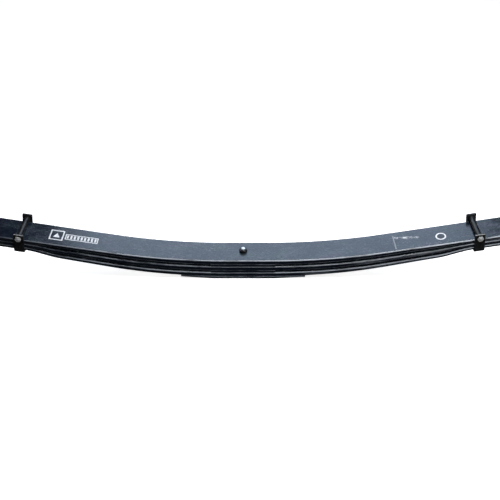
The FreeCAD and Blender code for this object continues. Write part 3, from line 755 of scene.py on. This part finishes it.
def hexBlank(across, height, bore=0.0, both=False):
    inside, outside = across / 2 - 0.0003, across / math.sqrt(3) + 0.001
    fall = (outside - inside) * math.tan(math.radians(30))
    low = [(inside, 0), (outside, fall)] if both else [(outside, 0)]
    high = [(outside, height - fall), (inside, height)]
    if not bore:
        dish = [(across * 0.36, height), (across * 0.34, height - 0.0004), (0, height - 0.0004)]
        return [(0, 0)] + low + high + dish
    lip = 0.0006
    return [(bore + lip, 0)] + low + high + [(bore + lip, height), (bore, height - lip), (bore, lip),
                                             (bore + lip, 0)]


def joinTo(piece, other):
    nothingSelected()
    other.select_set(True)
    piece.select_set(True)
    bpy.context.view_layer.objects.active = piece
    bpy.ops.object.join()
    return piece


def makeClipBolt(armName, arm):
    head = hexPiece(armName + "_clip_bolt_head", clip["across"], hexBlank(clip["across"], clip["head"]))
    length = 2 * strapOutside + clip["washerThick"] + clip["nut"] + clip["boltEnd"]
    radius, bevel = clip["bolt"], 0.0008
    thread = [(r, -h) for r,
              h in threadOutline(radius, length - 0.022, length - bevel, clip["thread"],
                                 clip["threadDepth"])]
    shank = lathe(armName + "Shank",
                  [(0, 0.0002), (radius, 0.0002)] + thread + [(radius, -length + bevel),
                                                              (radius - bevel, -length), (0, -length)])
    joinTo(head, shank)
    finishPiece(head, acrossLeaf(arm, strapOutside, False), finishes["zinc"],
                armName + "_clip_bolt", armName + "_arm", 28)


def makeClipNut(armName, arm):
    nut = hexPiece(armName + "_clip_nut_hex", clip["across"],
                   hexBlank(clip["across"], clip["nut"], clip["nutBore"], True))
    finishPiece(nut, acrossLeaf(arm, -strapOutside - clip["washerThick"], True), finishes["zinc"],
                armName + "_clip_nut", armName + "_arm", 28)


# spring washer, cut through on one side
def makeClipWasher(armName, arm):
    inner, outer, thick, soft = clip["bolt"] + 0.0005, clip["washer"], clip["washerThick"], 0.0003
    outline = [(inner, soft), (inner + soft, 0), (outer - soft, 0), (outer, soft), (outer, thick - soft),
               (outer - soft, thick),
               (inner + soft, thick), (inner, thick - soft), (inner, soft)]
    washer = lathe(armName + "_clip_washer_split", outline, 64, 351)
    finishPiece(washer, acrossLeaf(arm, -strapOutside, True), finishes["nut"],
                armName + "_clip_washer", armName + "_arm", 30)


# rolled tube with a narrow seam left along it
def makeClipTube(armName, arm):
    outer, wall, half, soft = clip["tube"], clip["tubeWall"], strapInside - 0.0001, 0.0004
    outline = [(outer - wall, -half), (outer - soft, -half), (outer, -half + soft)]
    outline += [(outer, -half + 2 * half * step / 12) for step in range(1, 12)]
    outline += [(outer, half - soft), (outer - soft, half), (outer - wall, half), (outer - wall, -half)]
    tube = lathe(armName + "_clip_tube_rolled", outline, 72, 357)
    finishPiece(tube, acrossLeaf(arm, 0, False), finishes["tube"], armName + "_clip_tube",
                armName + "_arm", 30)


def makeRivet(armName, arm):
    under = -strapDrop(arm) - clip["strapThick"]
    top = -dropOf(arm, arm["clip"], 2, 2) - spring["fit"]
    dome = []
    for step in range(9):
        turn = math.radians(90 * step / 8)
        dome.append((clip["rivetHead"] * math.sin(turn), under - clip["rivetDome"] * math.cos(turn)))
    outline = dome + [(clip["rivetHead"], under), (clip["rivet"], under), (clip["rivet"], top), (0, top)]
    rivet = lathe(armName + "_clip_rivet_domed", outline[:8] + outline[9:], 48)
    finishPiece(rivet, leafFrame(arm, arm["clip"]), finishes["rivet"],
                armName + "_clip_rivet", armName + "_arm", 50)


for armName, arm in arms.items():
    makeStrap(armName, arm)
    makeClipTube(armName, arm)
    makeClipBolt(armName, arm)
    makeClipWasher(armName, arm)
    makeClipNut(armName, arm)
    makeRivet(armName, arm)
print("clips ready")

centreBolt = {"radius": 0.007, "head": 0.0137, "across": 0.022, "nut": 0.009, "end": 0.004, "thread": 0.002,
              "threadDepth": 0.0008,
              "socket": 0.006, "socketDepth": 0.004, "bore": 0.00705}


def makeCentreBolt():
    top = spring["stack"] + centreBolt["nut"] + centreBolt["end"]
    radius, head, bevel = centreBolt["radius"], centreBolt["head"], 0.0012
    outline = [(0, centreBolt["socketDepth"]), (centreBolt["socket"], centreBolt["socketDepth"]),
               (centreBolt["socket"], 0.0004),
               (centreBolt["socket"] + 0.0005, 0), (head - 0.0003, 0), (head, 0.0003),
               (radius, head - radius)]
    outline += threadOutline(radius, spring["stack"] + 0.0005, top - bevel, centreBolt["thread"],
                             centreBolt["threadDepth"])
    outline += [(radius, top - bevel), (radius - bevel, top), (radius * 0.35, top), (0, top - 0.0006)]
    bolt = lathe("centre_bolt_turned", outline, 64)
    finishPiece(bolt, Matrix.Identity(4), finishes["steel"], "centre_bolt", "centre", 28)


def makeCentreNut():
    nut = hexPiece("centre_nut_hex", centreBolt["across"],
                   hexBlank(centreBolt["across"], centreBolt["nut"], centreBolt["bore"], True))
    finishPiece(nut, Matrix.Translation((0, 0, spring["stack"])), finishes["nut"],
                "centre_nut", "centre", 28)


makeCentreBolt()
makeCentreNut()
print("centre bolt ready")

tipPad = {"long": 0.06, "wide": 0.054, "thick": 0.0029, "corner": 0.006, "edge": 0.0005, "beyond": 0.078,
          "peg": 0.006, "groove": 0.0005}


# slide pad with three shallow grooves across it and a peg below
def makeTipPad(armName, arm, level, above):
    name = armName + "_" + level + "_tip_pad"
    half = tipPad["thick"] / 2
    pad = startPiece(name + "_moulded", "cube", size=1)
    bpy.ops.transform.resize(value=(tipPad["long"], tipPad["wide"], tipPad["thick"]))
    pick(pad, "edges", lambda edge: abs(along(edge).z) > 0.9)
    bpy.ops.mesh.bevel(offset=tipPad["corner"], segments=8, affect="EDGES")
    soften(pad, tipPad["edge"], 2, 60)
    for shift in (-0.015, 0.0, 0.015):
        groove = startPiece("groove", "cylinder", vertices=24, radius=0.0012, depth=0.08,
                            location=(shift, 0, half + 0.0007),
                            rotation=(math.pi / 2, 0, 0))
        combine(pad, groove, "DIFFERENCE")
    peg = tipPad["peg"]
    low = -half - 0.0055
    joinTo(pad, lathe("peg", [(0, low), (peg - 0.0006, low), (peg, low + 0.0006), (peg, 0), (0, 0)], 40))
    reach = arm["clip"] + tipPad["beyond"]
    drop = dropOf(arm, reach, above, above - 1) + spring["tipGap"] / 2
    finishPiece(pad, leafFrame(arm, reach, drop), finishes["plastic"], name,
                armName + "_arm", 35)


bush = {"wall": 0.003, "half": 0.044, "inner": 0.02, "pin": 0.015, "innerHalf": 0.049, "dish": 0.004,
        "bevel": 0.0008}


def ringOutline(inner, outer, half, bevel):
    return [(inner, bevel - half), (inner + bevel, -half), (outer - bevel, -half), (outer, bevel - half),
            (outer, half - bevel),
            (outer - bevel, half), (inner + bevel, half), (inner, half - bevel), (inner, bevel - half)]


def makeBush(armName, arm):
    at = leafFrame(arm, arm["eye"], -spring["eyeBore"]) @ Matrix.Rotation(math.radians(-90), 4, "X")
    bore = spring["eyeBore"]
    sleeve = lathe(armName + "_bush_outer_ring",
                   ringOutline(bore - bush["wall"], bore - spring["running"], bush["half"], 0.0006), 96)
    finishPiece(sleeve, at, finishes["steel"], armName + "_bush_outer_sleeve",
                armName + "_arm", 30)
    inner, outer, half = bush["inner"] + spring["running"], bore - bush["wall"], bush["half"]
    dished = []
    for step in range(11):
        share = step / 10
        lip = 0.0007 * math.exp(-((share - 0.12) / 0.06) ** 2) + 0.0007 * math.exp(-((share - 0.88)
                                                                                     / 0.06) ** 2)
        dished.append((outer + (inner - outer) * share,
                       half - bush["dish"] * math.sin(math.pi * share) ** 0.8 + lip * 0.5 - 0.0004))
    outline = [(radius, -height) for radius, height in reversed(dished)] + dished
    rubber = lathe(armName + "_bush_rubber_ring", outline + outline[:1], 96)
    finishPiece(rubber, at, finishes["rubber"], armName + "_bush_rubber", armName + "_arm", 50)
    ring = lathe(armName + "_bush_inner_ring",
                 ringOutline(bush["pin"], bush["inner"], bush["innerHalf"], bush["bevel"]), 96)
    finishPiece(ring, at, finishes["steel"], armName + "_bush_inner_sleeve",
                armName + "_bush_inner", 30)


for armName, arm in arms.items():
    makeTipPad(armName, arm, "upper", 1)
    makeTipPad(armName, arm, "lower", 2)
    makeBush(armName, arm)
print("tip pads and bushes ready")

view = {"aim": (0.02126, 0, 0.075), "distance": 1.938, "elevation": math.radians(41.12),
        "lens": 615.5 / 500 * 36, "shiftY": 1.32 / 500}


def makeCamera():
    data = bpy.data.cameras.new("camera")
    camera = bpy.data.objects.new("camera", data)
    bpy.context.scene.collection.objects.link(camera)
    back = Vector((0, -math.cos(view["elevation"]), math.sin(view["elevation"]))) * view["distance"]
    camera.location = Vector(view["aim"]) + back
    camera.rotation_euler = (math.pi / 2 - view["elevation"], 0, 0)
    data.lens = view["lens"]
    data.sensor_width = 36
    data.shift_y = view["shiftY"]
    data.clip_end = 50
    bpy.context.scene.camera = camera


lights = {
    "behind": {"at": (0.19, 1.75, 1.62), "size": (1.60, 1.0), "power": 18.8, "colour": (0.62, 0.77, 1.0)},
    "over": {"at": (0.45, -0.10, 2.3), "size": (1.5, 0.4), "power": 50, "colour": (1.0, 1.0, 1.0)},
    "front": {"at": (0.9, -2.2, 0.9), "size": (1.7, 0.9), "power": 26, "colour": (1.0, 0.99, 0.97)},
    "back": {"at": (-0.5, 2.6, 0.7), "size": (0.9, 0.4), "power": 26, "colour": (0.9, 0.95, 1.0)},
}
studio = {"sky": (0.9, 0.95, 1.0), "skyPower": 0.95, "floor": (0.92, 0.92, 0.92), "floorGlow": 0.75}


def makeLights():
    for name, values in lights.items():
        data = bpy.data.lights.new(name, "AREA")
        data.shape = "RECTANGLE"
        data.size, data.size_y = values["size"]
        data.energy = values["power"]
        data.color = values["colour"]
        lamp = bpy.data.objects.new(name, data)
        bpy.context.scene.collection.objects.link(lamp)
        lamp.location = values["at"]
        lamp.rotation_euler = (Vector(values["at"])
                               - Vector(view["aim"])).to_track_quat("Z", "Y").to_euler()
    world = bpy.data.worlds.new("studio")
    world.use_nodes = True
    world.node_tree.nodes["Background"].inputs["Color"].default_value = (*studio["sky"], 1)
    world.node_tree.nodes["Background"].inputs["Strength"].default_value = studio["skyPower"]
    world.cycles_visibility.diffuse = False
    world.cycles_visibility.glossy = False
    bpy.context.scene.world = world


def makeFloor():
    nothingSelected()
    bpy.ops.mesh.primitive_plane_add(size=14, location=(0, 2, 0))
    floor = bpy.context.object
    floor.name = "floor"
    material, shader = newMaterial("paleFloor", specular=0.1)
    shader.inputs["Base Color"].default_value = (*studio["floor"], 1)
    shader.inputs["Roughness"].default_value = 0.9
    shader.inputs["Emission Color"].default_value = (1, 1, 1, 1)
    shader.inputs["Emission Strength"].default_value = studio["floorGlow"]
    floor.data.materials.append(material)
    floor.visible_glossy = False    # keeps the pale floor's light out of the paint
    floor.visible_diffuse = False


makeCamera()
makeLights()
makeFloor()
bpy.context.scene.view_settings.view_transform = "Standard"
print("studio ready")
